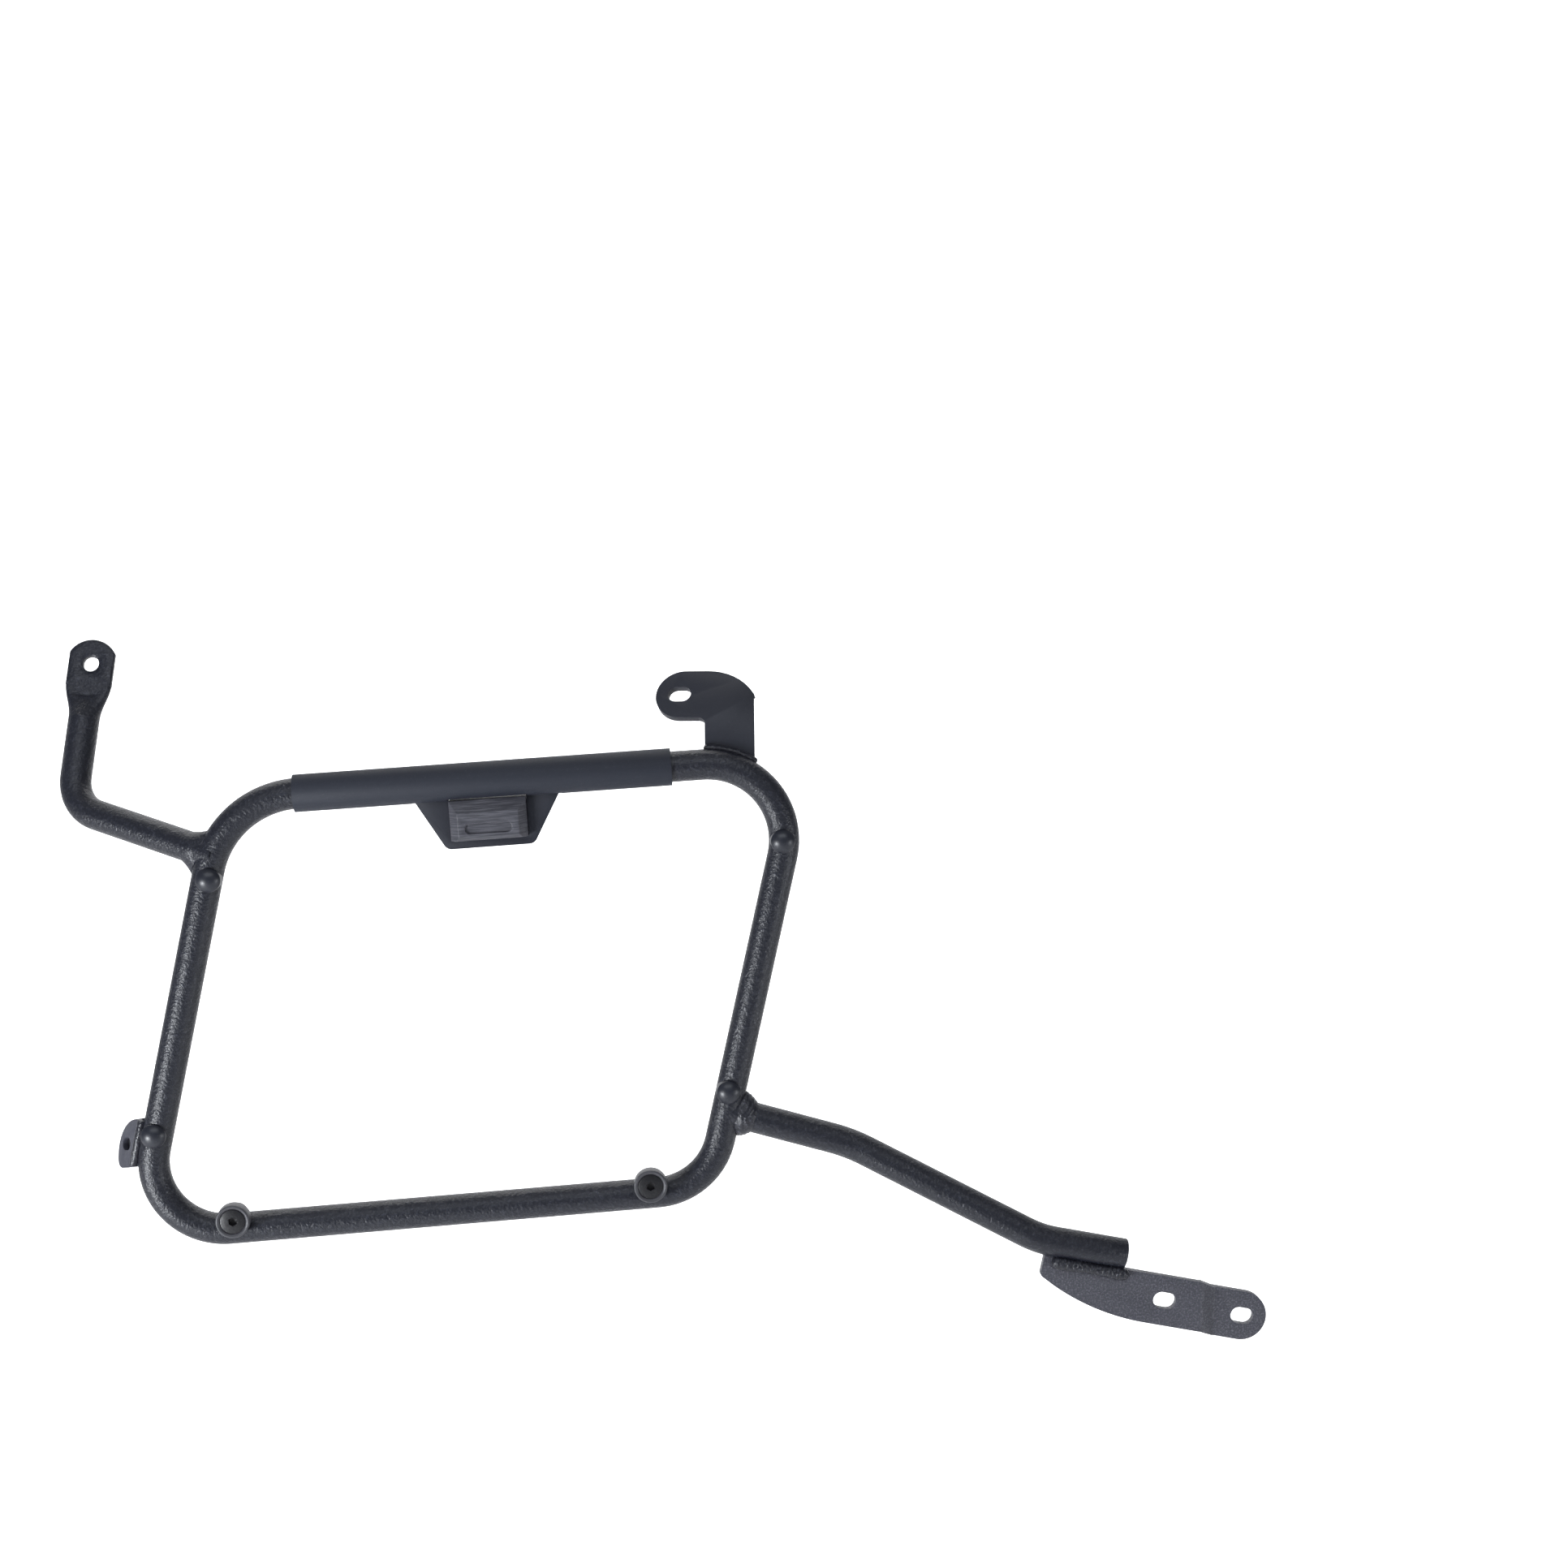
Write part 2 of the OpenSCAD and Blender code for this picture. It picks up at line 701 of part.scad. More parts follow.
module catch_block() {
    half = catch_w / 2;
    back = lock_t / 2;
    color("#3a3c42")
        translate([lock_x, 0, 0]) {
            difference() {
                intersection() {
                    translate([0, 0, catch_z])
                        linear_extrude(height = catch_h)
                            polygon([[-half, back + lip_t], [-half, catch_front + catch_depth],
                                [catch_side - half, catch_front], [half - catch_side, catch_front],
                                [half, catch_front + catch_depth], [half, back + lip_t]]);
                    rotate([90, 0, 90])
                        linear_extrude(height = 2 * catch_w, center = true)
                            polygon([[back + lip_t, catch_z], [catch_front + catch_low, catch_z],
                                [catch_front, catch_z + catch_low], [catch_front, catch_z + catch_h - catch_ramp],
                                [catch_front + catch_depth, catch_z + catch_h], [back + lip_t, catch_z + catch_h]]);
                }
                translate([0, catch_front + groove_depth, groove_z])
                    rotate([90, 0, 0])
                        linear_extrude(height = groove_depth + past)
                            slot_2d(groove_len, groove_w);
            }
            translate([-half - lip, back, catch_z - lip])
                cube([catch_w + 2 * lip, lip_t, catch_h + lip - tube_wall]);
        }
}

module tube_cover() {
    color("#34363d")
        translate([cover_x, 0, loop_h])
            difference() {
                rotate([0, 90, 0])
                    cylinder(h = cover_len, r = cover_r, $fn = 96);
                translate([-past, 0, 0])
                    rotate([0, 90, 0])
                        cylinder(h = cover_len + 2 * past, r = tube_r + cover_gap, $fn = 96);
                translate([-past, 0, -cover_slit / 2])
                    cube([cover_len + 2 * past, 2 * tube_d, cover_slit]);
                translate([cover_back - lock_top_w / 2 - notch_gap, -lock_t / 2 - notch_gap, -2 * tube_d])
                    cube([lock_top_w + 2 * notch_gap, lock_t + 2 * notch_gap, 2 * tube_d]);
                translate([cover_back - catch_w / 2 - notch_gap, -2 * tube_d, catch_z + notch_gap - loop_h])
                    cube([catch_w + 2 * notch_gap, 3 * tube_d, catch_h]);
            }
}

module stud_bush(x) {
    color("#26282e")
        difference() {
            rod([x, bush_front, pad_z], [x, bush_front + bush_len, pad_z], bush_d / 2);
            rod([x, bush_front - past, pad_z], [x, bush_front + bush_len - bush_floor, pad_z], screw_d / 2 + hole_gap);
        }
}

module stud_bush_rear() {
    stud_bush(pad_rear_x);
}

module stud_bush_front() {
    stud_bush(pad_front_x);
}

// puts a child on a bush's face with z pointing outboard
module at_pad(x) {
    translate([x, bush_front, pad_z])
        rotate([90, 0, 0])
            children();
}

module puck(x) {
    seat = pad_t - head_sink;
    wide = screw_head_d / 2 + hole_gap;
    color("#4a4c53")
        at_pad(x)
            rotate_extrude($fn = 96)
                polygon([[pad_hole_d / 2, 0], [pad_d / 2, 0], [pad_d / 2, pad_t - pad_edge],
                    [pad_d / 2 - pad_edge, pad_t], [wide + dish_slope, pad_t], [wide, pad_t - dish_depth],
                    [wide, seat - head_rim],
                    [pad_hole_d / 2, seat - head_rim - wide + pad_hole_d / 2]]);
}

module puck_rear() {
    puck(pad_rear_x);
}

module puck_front() {
    puck(pad_front_x);
}

module puck_screw(x) {
    top = pad_t - head_sink;
    color("#1c1d22")
        at_pad(x)
            difference() {
                union() {
                    translate([0, 0, top - head_rim])
                        cylinder(h = head_rim, d = screw_head_d, $fn = 96);
                    translate([0, 0, top - head_rim - head_h])
                        cylinder(h = head_h, d1 = screw_d, d2 = screw_head_d, $fn = 96);
                    translate([0, 0, top - screw_len])
                        cylinder(h = screw_len - head_rim, d = screw_d);
                }
                translate([0, 0, top - socket_depth])
                    cylinder(h = socket_depth + past, d = socket_w / cos(30), $fn = 6);
            }
}

module puck_screw_rear() {
    puck_screw(pad_rear_x);
}

module puck_screw_front() {
    puck_screw(pad_front_x);
}

module plug(foot) {
    cap = plug_rise - plug_skirt;
    ball_r = (pow(plug_d / 2, 2) + cap * cap) / (2 * cap);
    color("#2b2d34")
        difference() {
            translate([foot[0], -bore_r + plug_bead, foot[2]])
                rotate([90, 0, 0]) {
                    translate([0, 0, plug_bead + tube_wall - tube_r / 2])
                        cylinder(h = tube_r / 2 + plug_skirt, d = plug_d, $fn = 96);
                    cylinder(h = plug_bead + tube_wall, d = plug_hole_d - 2 * hole_gap);
                    intersection() {
                        translate([0, 0, plug_bead + tube_wall])
                            cylinder(h = plug_rise, d = plug_d, $fn = 96);
                        translate([0, 0, plug_bead + tube_wall + plug_rise - ball_r])
                            sphere(r = ball_r, $fn = 96);
                    }
                }
            difference() {
                loop_bar(tube_r);
                rod(foot + axis_y, foot - axis_y * tube_d, plug_hole_d / 2 - hole_gap);
            }
        }
}

module plug_upper_rear() {
    plug(plug_feet[0]);
}

module plug_lower_rear() {
    plug(plug_feet[1]);
}

module plug_upper_front() {
    plug(plug_feet[2]);
}

module plug_lower_front() {
    plug(plug_feet[3]);
}

module weld_rear_strut() {
    color("#26282e")
        difference() {
            collar(rear_foot, rear_dir, side_dir, rear_weld_leg);
            loop_bar(tube_r);
            rod(rear_foot, rear_foot + rear_dir * 3 * tube_d, cope_r);
        }
}

module weld_front_strut() {
    color("#26282e")
        difference() {
            collar(front_foot, front_dir, side_dir, front_weld_leg);
            loop_bar(tube_r);
            rod(front_foot, front_foot + front_dir * 3 * tube_d, cope_r);
            rod(plug_feet[3], plug_feet[3] - axis_y * 2 * tube_d, plug_d / 2 + weld_clear);
        }
}

// bead between the end tube and one face of the footpeg bracket, side -1 for the front face
module peg_weld(side) {
    run = peg_weld_len + peg_weld_run + peg_weld_in;
    color("#26282e")
        difference() {
            at_peg()
                translate([peg_weld_in - peg_weld_len, side * (peg_t / 2 + peg_weld_off), -peg_weld_drop])
                    rotate([0, 90, 0])
                        difference() {
                            rotate_extrude()
                                polygon([[0, 0], [peg_weld_r * peg_weld_tip, 0], [peg_weld_r, peg_weld_end],
                                    [peg_weld_r, run - peg_weld_end], [peg_weld_r * peg_weld_tip, run], [0, run]]);
                            translate([-tube_d, side > 0 ? -tube_d - peg_weld_off : peg_weld_off, -past])
                                cube([2 * tube_d, tube_d, 2 * peg_weld_len]);
                        }
            end_bar(tube_r);
        }
}

module weld_footpeg_front() {
    peg_weld(-1);
}

module weld_footpeg_back() {
    peg_weld(1);
}

module weld_upper_bracket() {
    centre = [loop_pts[2][0] - bend_cut(loop_pts[1], loop_pts[2], loop_pts[3], front_bend_r), 0,
        loop_h - front_bend_r];
    first = asin((arm_x - centre[0] - arm_weld_past) / (front_bend_r + tube_r));
    last = asin((arm_x + arm_foot_w - centre[0] + arm_weld_past) / (front_bend_r + tube_r));
    front = [front_bend_r + arm_weld_front[0], arm_weld_front[1]];
    back = [front_bend_r + arm_weld_back[0], arm_t + arm_out + arm_weld_back[1]];
    color("#26282e")
        difference() {
            translate(centre)
                rotate([90, 0, 0]) {
                    for (p = [front, back])
                        rotate([0, 0, 90 - last])
                            rotate_extrude(angle = last - first, $fn = 144)
                                translate([p[0], -p[1]])
                                    circle(r = arm_weld_r - joint_step);
                    for (a = [first, last])
                        rotate([0, 0, 90 - a]) {
                            rod([front[0], 0, -front[1]], [back[0], 0, -back[1]], arm_weld_r - 2 * joint_step);
                            translate([front[0], 0, -front[1]])
                                sphere(r = arm_weld_r);
                            translate([back[0], 0, -back[1]])
                                sphere(r = arm_weld_r);
                        }
                }
            loop_bar(tube_r);
            upper_plate();
        }
}

module weld_brace_tab() {
    color("#26282e")
        difference() {
            for (side = [-1, 1]) {
                face = tab_back + side * (tab_t / 2 + tab_weld_off);
                reach = sqrt(pow(tube_r, 2) - pow(tab_back + side * tab_t / 2, 2)) + tab_weld_up;
                root = on_side(0, tab_z - tab_weld_drop) + tab_dir * reach + tab_out * face;
                rod(root - side_dir * tab_h / 2, root + side_dir * tab_h / 2, tab_weld_r);
            }
            loop_bar(tube_r);
            tab_plate();
        }
}

translate(-eye_at) {
    loop_tube();
    rear_strut();
    front_strut();
    footpeg_bracket();
    upper_bracket();
    brace_tab();
    brace_nut();
    lock_plate();
    catch_block();
    tube_cover();
    stud_bush_rear();
    stud_bush_front();
    puck_rear();
    puck_front();
    puck_screw_rear();
    puck_screw_front();
    plug_upper_rear();
    plug_lower_rear();
    plug_upper_front();
    plug_lower_front();
    weld_rear_strut();
    weld_front_strut();
    weld_footpeg_front();
    weld_footpeg_back();
    weld_upper_bracket();
    weld_brace_tab();
}
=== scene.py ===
import bmesh
import bpy
import numpy as np
from mathutils import Matrix


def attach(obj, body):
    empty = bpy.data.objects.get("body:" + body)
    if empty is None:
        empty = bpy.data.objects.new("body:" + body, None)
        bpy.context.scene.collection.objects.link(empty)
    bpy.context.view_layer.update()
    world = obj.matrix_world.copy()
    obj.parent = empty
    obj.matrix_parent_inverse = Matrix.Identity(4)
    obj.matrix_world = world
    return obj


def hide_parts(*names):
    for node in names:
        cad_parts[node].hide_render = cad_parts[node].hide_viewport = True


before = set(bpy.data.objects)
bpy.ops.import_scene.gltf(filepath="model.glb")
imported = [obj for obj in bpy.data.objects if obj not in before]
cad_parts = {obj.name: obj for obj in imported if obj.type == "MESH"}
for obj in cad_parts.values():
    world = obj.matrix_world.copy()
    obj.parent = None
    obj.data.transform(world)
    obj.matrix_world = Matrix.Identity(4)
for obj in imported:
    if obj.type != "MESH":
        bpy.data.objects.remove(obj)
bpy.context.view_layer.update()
root = "root"


# Loop tube: one closed run of round 16 mm steel tube, bent in four corners and butt welded under
# the cover. It is powder coated in a nearly black satin with a fine, sparkling grain.
# Sizes are in millimetres from the loop's lower rear corner, with x forwards, y inboard and z up.
tube_r = 7.985  # a hair less than the solids' 8 mm, so that no skin passes their box
eye_at = np.array([-10.3, 68.0, 295.2])
loop_corners = np.array([[0, 0, 0], [298.5, 0, 0], [362.8, 0, 226], [64.3, 0, 226]], float)
loop_bends = [36, 36, 40, 50]
merge_dist, sliver = 2e-6, 1e-7  # metres


def in_frame(points):
    """Millimetres from the loop's corner to metres from the rear eye: less its place, over 1000."""
    return (np.asarray(points, float) - eye_at) / 1000


def unit(v):
    """The vector over its length, along the last axis."""
    v = np.asarray(v, float)
    return v / np.linalg.norm(v, axis=-1, keepdims=True)


def square_to(v, n):
    """The part of v square to the unit vector n, made a unit vector."""
    return unit(v - np.dot(v, n) * n)


def bent_axis(corners, radii, closed=False, arc_step=2.5, straight_step=12.0):
    """Axis of a bent tube: straights, and at each corner an arc of its radius that touches both."""
    corners = np.asarray(corners, float)
    n = len(corners)
    inner = range(n) if closed else range(1, n - 1)
    arcs = {} if closed else {0: corners[:1], n - 1: corners[-1:]}
    for i, r in zip(inner, radii):
        a, b, c = corners[i - 1], corners[i], corners[(i + 1) % n]
        d, e = unit(b - a), unit(c - b)
        turn = np.arccos(d @ e)
        side = square_to(e, d)
        t = np.linspace(0, turn, int(turn * r / arc_step) + 2)[:, None]
        arcs[i] = b - d * r * np.tan(turn / 2) + side * r + r * (np.sin(t) * d - np.cos(t) * side)
    points = []
    for i in range(n):
        points.append(arcs[i])
        if closed or i < n - 1:
            p, q = arcs[i][-1], arcs[(i + 1) % n][0]
            steps = max(int(np.linalg.norm(q - p) / straight_step), 1)
            points.append(p + (q - p) * np.linspace(0, 1, steps + 1)[1:-1, None])
    points = np.concatenate(points)
    return np.concatenate([points, points[:1]]) if closed else points


def carried_axes(path, start_side):
    """For each point of a path its direction and two square sides, carried along without twist."""
    ahead = unit(np.gradient(path, axis=0))
    if np.allclose(path[0], path[-1]):
        ahead[0] = ahead[-1] = unit(path[1] - path[-2])
    side = [square_to(np.asarray(start_side, float), ahead[0])]
    for d in ahead[1:]:
        side.append(square_to(side[-1], d))
    side = np.array(side)
    return ahead, side, np.cross(ahead, side)


def round_skin(path, radius, start_side=(0, 1, 0), around=64):
    """Circle carried along a path: point = path + radius (cos a side + sin a third).

    The radius is one number, or one for each point of the path."""
    ahead, side, third = carried_axes(path, start_side)
    a = np.linspace(0, 2 * np.pi, around + 1)[None, :, None]
    radius = np.broadcast_to(np.asarray(radius, float), (len(path),))[:, None, None]
    return path[:, None] + radius * (np.cos(a) * side[:, None] + np.sin(a) * third[:, None])


def set_on_frame(name, mesh, material, nodes, crease):
    """A piece of the mesh: smooth but for edges sharper than crease, coated, riding on the root."""
    mesh.polygons.foreach_set("use_smooth", np.ones(len(mesh.polygons), bool))
    mesh.set_sharp_from_angle(angle=np.radians(crease))
    mesh.materials.clear()
    mesh.materials.append(material)
    piece = bpy.data.objects.new(name, mesh)
    bpy.context.scene.collection.objects.link(piece)
    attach(piece, root)
    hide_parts(*nodes)
    return piece


def piece_of(name, grids, material, nodes, crease=40):
    """A piece of grids of points, rows by columns, whose cells are its faces."""
    faces, start = [], 0
    for g in grids:
        i = np.arange(g.shape[0] * g.shape[1]).reshape(g.shape[:2]) + start
        cells = np.stack([i[:-1, :-1], i[1:, :-1], i[1:, 1:], i[:-1, 1:]], axis=-1)
        faces.append(cells.reshape(-1, 4))
        start += i.size
    points = in_frame(np.concatenate([g.reshape(-1, 3) for g in grids]))
    mesh = bpy.data.meshes.new(name)
    mesh.from_pydata(points.tolist(), [], np.concatenate(faces).tolist())
    merged = bmesh.new()
    merged.from_mesh(mesh)
    bmesh.ops.remove_doubles(merged, verts=merged.verts, dist=merge_dist)
    bmesh.ops.dissolve_degenerate(merged, edges=merged.edges, dist=sliver)
    bmesh.ops.recalc_face_normals(merged, faces=merged.faces)
    merged.to_mesh(mesh)
    merged.free()
    set_on_frame(name, mesh, material, nodes, crease)


def math_node(nodes, operation, factor=None):
    """A Math node, whose second value is factor where one is given."""
    node = nodes.new("ShaderNodeMath")
    node.operation = operation
    if factor is not None:
        node.inputs[1].default_value = factor
    return node


def grain_group():
    """Node group: height = fine noise + 0.6 broad noise, and the fine one's peaks are the flecks.

    The broad noise has 0.35 of the fine one's grains in a metre."""
    group = bpy.data.node_groups.new("Powder grain", "ShaderNodeTree")
    for way, name, start in (("INPUT", "Grains per metre", 900), ("INPUT", "Fleck level", 0.6),
                             ("OUTPUT", "Height", 0), ("OUTPUT", "Fleck", 0)):
        socket = group.interface.new_socket(name, in_out=way, socket_type="NodeSocketFloat")
        socket.default_value = start
    new, link = group.nodes.new, group.links.new
    given, out = new("NodeGroupInput"), new("NodeGroupOutput")
    place = new("ShaderNodeTexCoord")
    fine, broad = new("ShaderNodeTexNoise"), new("ShaderNodeTexNoise")
    fine.inputs["Detail"].default_value = 2.0
    fine.inputs["Roughness"].default_value = 0.6
    broad.inputs["Detail"].default_value = 1.0
    broad_grains = math_node(group.nodes, "MULTIPLY", 0.35)
    height = math_node(group.nodes, "MULTIPLY_ADD", 0.6)
    peaks = new("ShaderNodeMapRange")
    peaks.interpolation_type = "SMOOTHSTEP"
    peaks.inputs["From Max"].default_value = 0.78
    link(place.outputs["Object"], fine.inputs["Vector"])
    link(place.outputs["Object"], broad.inputs["Vector"])
    link(given.outputs["Grains per metre"], fine.inputs["Scale"])
    link(given.outputs["Grains per metre"], broad_grains.inputs[0])
    link(broad_grains.outputs[0], broad.inputs["Scale"])
    link(broad.outputs["Fac"], height.inputs[0])
    link(fine.outputs["Fac"], height.inputs[2])
    link(fine.outputs["Fac"], peaks.inputs["Value"])
    link(given.outputs["Fleck level"], peaks.inputs["From Min"])
    link(height.outputs[0], out.inputs["Height"])
    link(peaks.outputs["Result"], out.inputs["Fleck"])
    return group


powder_grain = grain_group()


def grained(name, roughness, grains, fleck_level=0.6, gloss=0.4, fleck_rough=0.3):
    """A bare material with the grain, whose flecks turn its roughness into fleck_rough."""
    material = bpy.data.materials.new(name)
    material.use_nodes = True
    nodes, link = material.node_tree.nodes, material.node_tree.links.new
    shader = nodes["Principled BSDF"]
    shader.inputs["Specular IOR Level"].default_value = gloss
    grain = nodes.new("ShaderNodeGroup")
    grain.node_tree = powder_grain
    grain.inputs["Grains per metre"].default_value = grains
    grain.inputs["Fleck level"].default_value = fleck_level
    rough = nodes.new("ShaderNodeMapRange")
    rough.inputs["To Min"].default_value = roughness
    rough.inputs["To Max"].default_value = fleck_rough
    link(grain.outputs["Fleck"], rough.inputs["Value"])
    link(rough.outputs["Result"], shader.inputs["Roughness"])
    return material, grain


def tint_and_bump(material, share, height, colour, other_colour, depth):
    """Colour turns into other_colour by share, and the face stands up by height times depth mm."""
    nodes, link = material.node_tree.nodes, material.node_tree.links.new
    shader = nodes["Principled BSDF"]
    tint, bump = nodes.new("ShaderNodeMix"), nodes.new("ShaderNodeBump")
    tint.data_type = "RGBA"
    tint.inputs["A"].default_value = (*colour, 1)
    tint.inputs["B"].default_value = (*other_colour, 1)
    bump.inputs["Distance"].default_value = depth / 1000
    bump.inputs["Strength"].default_value = 1.0
    link(share, tint.inputs["Factor"])
    link(tint.outputs["Result"], shader.inputs["Base Color"])
    link(height, bump.inputs["Height"])
    link(bump.outputs["Normal"], shader.inputs["Normal"])


def coated(name, colour, fleck_colour, roughness, grains, depth, **sheen):
    """A coat or a moulded plastic: grain bumps it, and its flecks are paler and shinier."""
    material, grain = grained(name, roughness, grains, **sheen)
    tint_and_bump(material, grain.outputs["Fleck"], grain.outputs["Height"], colour, fleck_colour,
                  depth)
    return material


tube_coat = coated("Satin powder coat", (0.0085, 0.0095, 0.015), (0.034, 0.036, 0.047),
                   roughness=0.38, grains=720, depth=0.42, fleck_level=0.5, fleck_rough=0.22)
loop_path = bent_axis(loop_corners, loop_bends, closed=True)
piece_of("loop_tube_skin", [round_skin(loop_path, tube_r)], tube_coat, ["loop_tube"])


# Rear strut: a short bent piece of the same tube, cut to sit on the loop and welded to it.
# Its far end is pressed flat, rounded and drilled for an M8 screw, and a curved crease shows where
# the press stopped.
rear_foot = np.array([56.25, 0, 197.7])
rear_knee = np.array([-21.7, 42, 222.6])
rear_knee_r = 22
eye_r, tip_r, flat_half_w, flat_half_t = 4.25, 13.5, 12.0, 2.0
round_end, flat_start, crease_dip = 30.0, 10.0, 7.5
loop_fine = bent_axis(loop_corners, loop_bends, closed=True, arc_step=0.3, straight_step=0.3)


def on_loop(points, ahead, start=16.0, most_back=4.0, sunk=0.05, near_by=45, steps=40):
    """Length t for which points + t ahead lies sunk below the loop's skin, found from outside in.

    Each step goes back along the ray by the distance to the loop's axis less the radius there. It
    begins start ahead, ends at most_back behind, and looks only at the part of the axis near_by."""
    near = loop_fine[np.linalg.norm(loop_fine - points.mean(axis=0), axis=1) < near_by]
    t = np.full(len(points), start)
    for _ in range(steps):
        place = points + t[:, None] * ahead
        gap = np.linalg.norm(place[:, None] - near[None], axis=-1).min(axis=1) - (tube_r - sunk)
        t = np.maximum(t - gap, -most_back)
    return t


def seated_skin(path, start_side, clear=1.0):
    """round_skin whose first ring is moved along the tube to the curve where it meets the loop.

    The other rings are kept where they lie clear of that curve."""
    grid = round_skin(path, tube_r, start_side)
    ahead = unit(path[1] - path[0])
    cut = on_loop(grid[0], ahead)
    grid[0] += cut[:, None] * ahead
    keep = [i for i in range(1, len(path)) if (path[i] - path[0]) @ ahead > cut.max() + clear]
    return grid[[0] + keep]


eye_dir = unit(eye_at - rear_knee)
eye_side = square_to(np.array([1.0, 0, 0]), eye_dir)
eye_out = -np.cross(eye_dir, eye_side)
swage_foot = eye_at - eye_dir * round_end
rear_path = bent_axis([rear_foot, rear_knee, swage_foot], [rear_knee_r])
ring, press_rows, eye_turns = 96, 28, 144
press_end, width_lead, bow = flat_start - 0.5, 1.0, 0.15


def pressed_sections(steps):
    """Sections from the round tube to the flat end: each point goes from a circle to a stadium.

    The share of the stadium grows from 0 at the round end to 1. Across the width it grows in an S;
    in thickness it grows nearly evenly, up to a line that dips in the middle of the flat."""
    turn = np.linspace(0, 1, ring + 1)
    circle = tube_r * np.stack([np.cos(2 * np.pi * turn), np.sin(2 * np.pi * turn)], axis=-1)
    half = flat_half_w - flat_half_t
    length = np.cumsum([0, half, np.pi * flat_half_t, 2 * half, np.pi * flat_half_t, half])
    along = (turn * length[-1] + np.pi * flat_half_t / 2 + half) % length[-1]
    x, y = np.empty_like(along), np.empty_like(along)
    for k, (a, b) in enumerate(zip(length[:-1], length[1:])):
        on = (along >= a) & (along <= b)
        t = along[on] - a
        if k == 0:
            x[on], y[on] = t, -flat_half_t
        elif k in (1, 3):
            spin = t / flat_half_t - np.pi / 2 + (0 if k == 1 else np.pi)
            x[on] = (half if k == 1 else -half) + flat_half_t * np.cos(spin)
            y[on] = flat_half_t * np.sin(spin)
        elif k == 2:
            x[on], y[on] = half - t, flat_half_t
        else:
            x[on], y[on] = -half + t, -flat_half_t
    stadium = np.stack([x, y], axis=-1)
    s = np.linspace(-round_end, -press_end, steps)[:, None]
    stop = -flat_start - crease_dip * (1 - (stadium[:, 0] / flat_half_w) ** 2)[None, :]
    t = np.clip((s + round_end) / (stop + round_end), 0, 1)
    thin = (1 - bow) * t + bow * t * t * (3 - 2 * t)
    wide = np.clip((s + round_end) / (round_end - flat_start - width_lead), 0, 1)
    wide = np.broadcast_to(wide * wide * (3 - 2 * wide), thin.shape)
    m = np.stack([wide, thin], axis=-1)
    flat = (1 - m) * circle + m * stadium
    return eye_at + flat[..., :1] * eye_side + flat[..., 1:] * eye_out + s[..., None] * eye_dir


def eye_outline(turns, lap=2.0, least=1e-6):
    """Outline of the flat end as a reach for each angle about the hole.

    Above the hole it is a disc cut by the two sides. Below, it is a square end that goes on for lap
    inside the pressed length."""
    a = np.linspace(0, 2 * np.pi, turns + 1)
    sides = flat_half_w / np.maximum(np.abs(np.cos(a)), least)
    low = (flat_start + lap) / np.maximum(-np.sin(a), least)
    return a, np.where(np.sin(a) < 0, np.minimum(sides, low), np.minimum(sides, tip_r))


sections = pressed_sections(press_rows)
a, reach = eye_outline(eye_turns)
rim, lip_w, hair = 1.1, 0.35, 0.01
eye_half_t = flat_half_t - hair
rim_bow, lip = rim * 0.3, eye_r + lip_w
# Each row has a radius, or else an inset from the outline, and the plate's side and its fall there.
profile = [(lip, 0, 1, 0), (None, -rim, 1, 0), (None, -rim_bow, 1, rim_bow), (None, 0, 1, rim),
           (None, 0, -1, rim), (None, -rim_bow, -1, rim_bow), (None, -rim, -1, 0), (lip, 0, -1, 0),
           (eye_r, 0, -1, lip_w), (eye_r, 0, 1, lip_w), (lip, 0, 1, 0)]
plate = []
for radius, inset, face, fall in profile:
    r = np.full_like(reach, radius) if radius else reach + inset
    plate.append(eye_at + (r * np.cos(a))[:, None] * eye_side + (r * np.sin(a))[:, None] * eye_dir
                 + face * (eye_half_t - fall) * eye_out)
cap = np.repeat(eye_at[None, None] - eye_dir * press_end, ring + 1, axis=1)
piece_of("rear_strut_skin", [seated_skin(rear_path, eye_out)], tube_coat,
         ["rear_strut"])
piece_of("rear_strut_pressed_end", [sections, np.concatenate([sections[-1:], cap])], tube_coat,
         [], crease=60)
piece_of("rear_strut_eye", [np.array(plate)], tube_coat, [], crease=60)


# Front strut: a long piece of the same tube with two bends, in the same coat.
# Its rear end is cut to sit on the loop and welded there; its front end is cut square and open.
front_foot = np.array([310.34, 0, 41.6])
front_knee, front_ankle = np.array([374.6, 0, 18.4]), np.array([470.5, -20, -36.65])
front_bends, end_length, end_fall = [80, 55], 46.7, np.radians(15)
end_dir = np.array([np.cos(end_fall), 0, -np.sin(end_fall)])
end_up = np.array([np.sin(end_fall), 0, np.cos(end_fall)])
front_tip = front_ankle + end_length * end_dir
wall, edge_r, edge_bow, open_depth = 2.0, 0.35, 0.1, 38.0
front_path = bent_axis([front_foot, front_knee, front_ankle, front_tip], front_bends)
front_grid = seated_skin(front_path[:-1], (0, 1, 0))
mouth_profile = [(edge_r, tube_r), (edge_r * 0.3, tube_r - edge_bow), (0, tube_r - edge_r),
                 (0, tube_r - wall + edge_r), (edge_r * 0.3, tube_r - wall + edge_bow),
                 (edge_r, tube_r - wall), (open_depth, tube_r - wall)]
mouth = round_skin(np.array([front_tip - end_dir * back for back, _ in mouth_profile]),
                   [radius for _, radius in mouth_profile])
deep_end = np.repeat(front_tip[None, None] - end_dir * open_depth, mouth.shape[1], axis=1)
piece_of("front_strut_skin",
         [np.concatenate([front_grid, mouth]), np.concatenate([mouth[-1:], deep_end])],
         tube_coat, ["front_strut"])


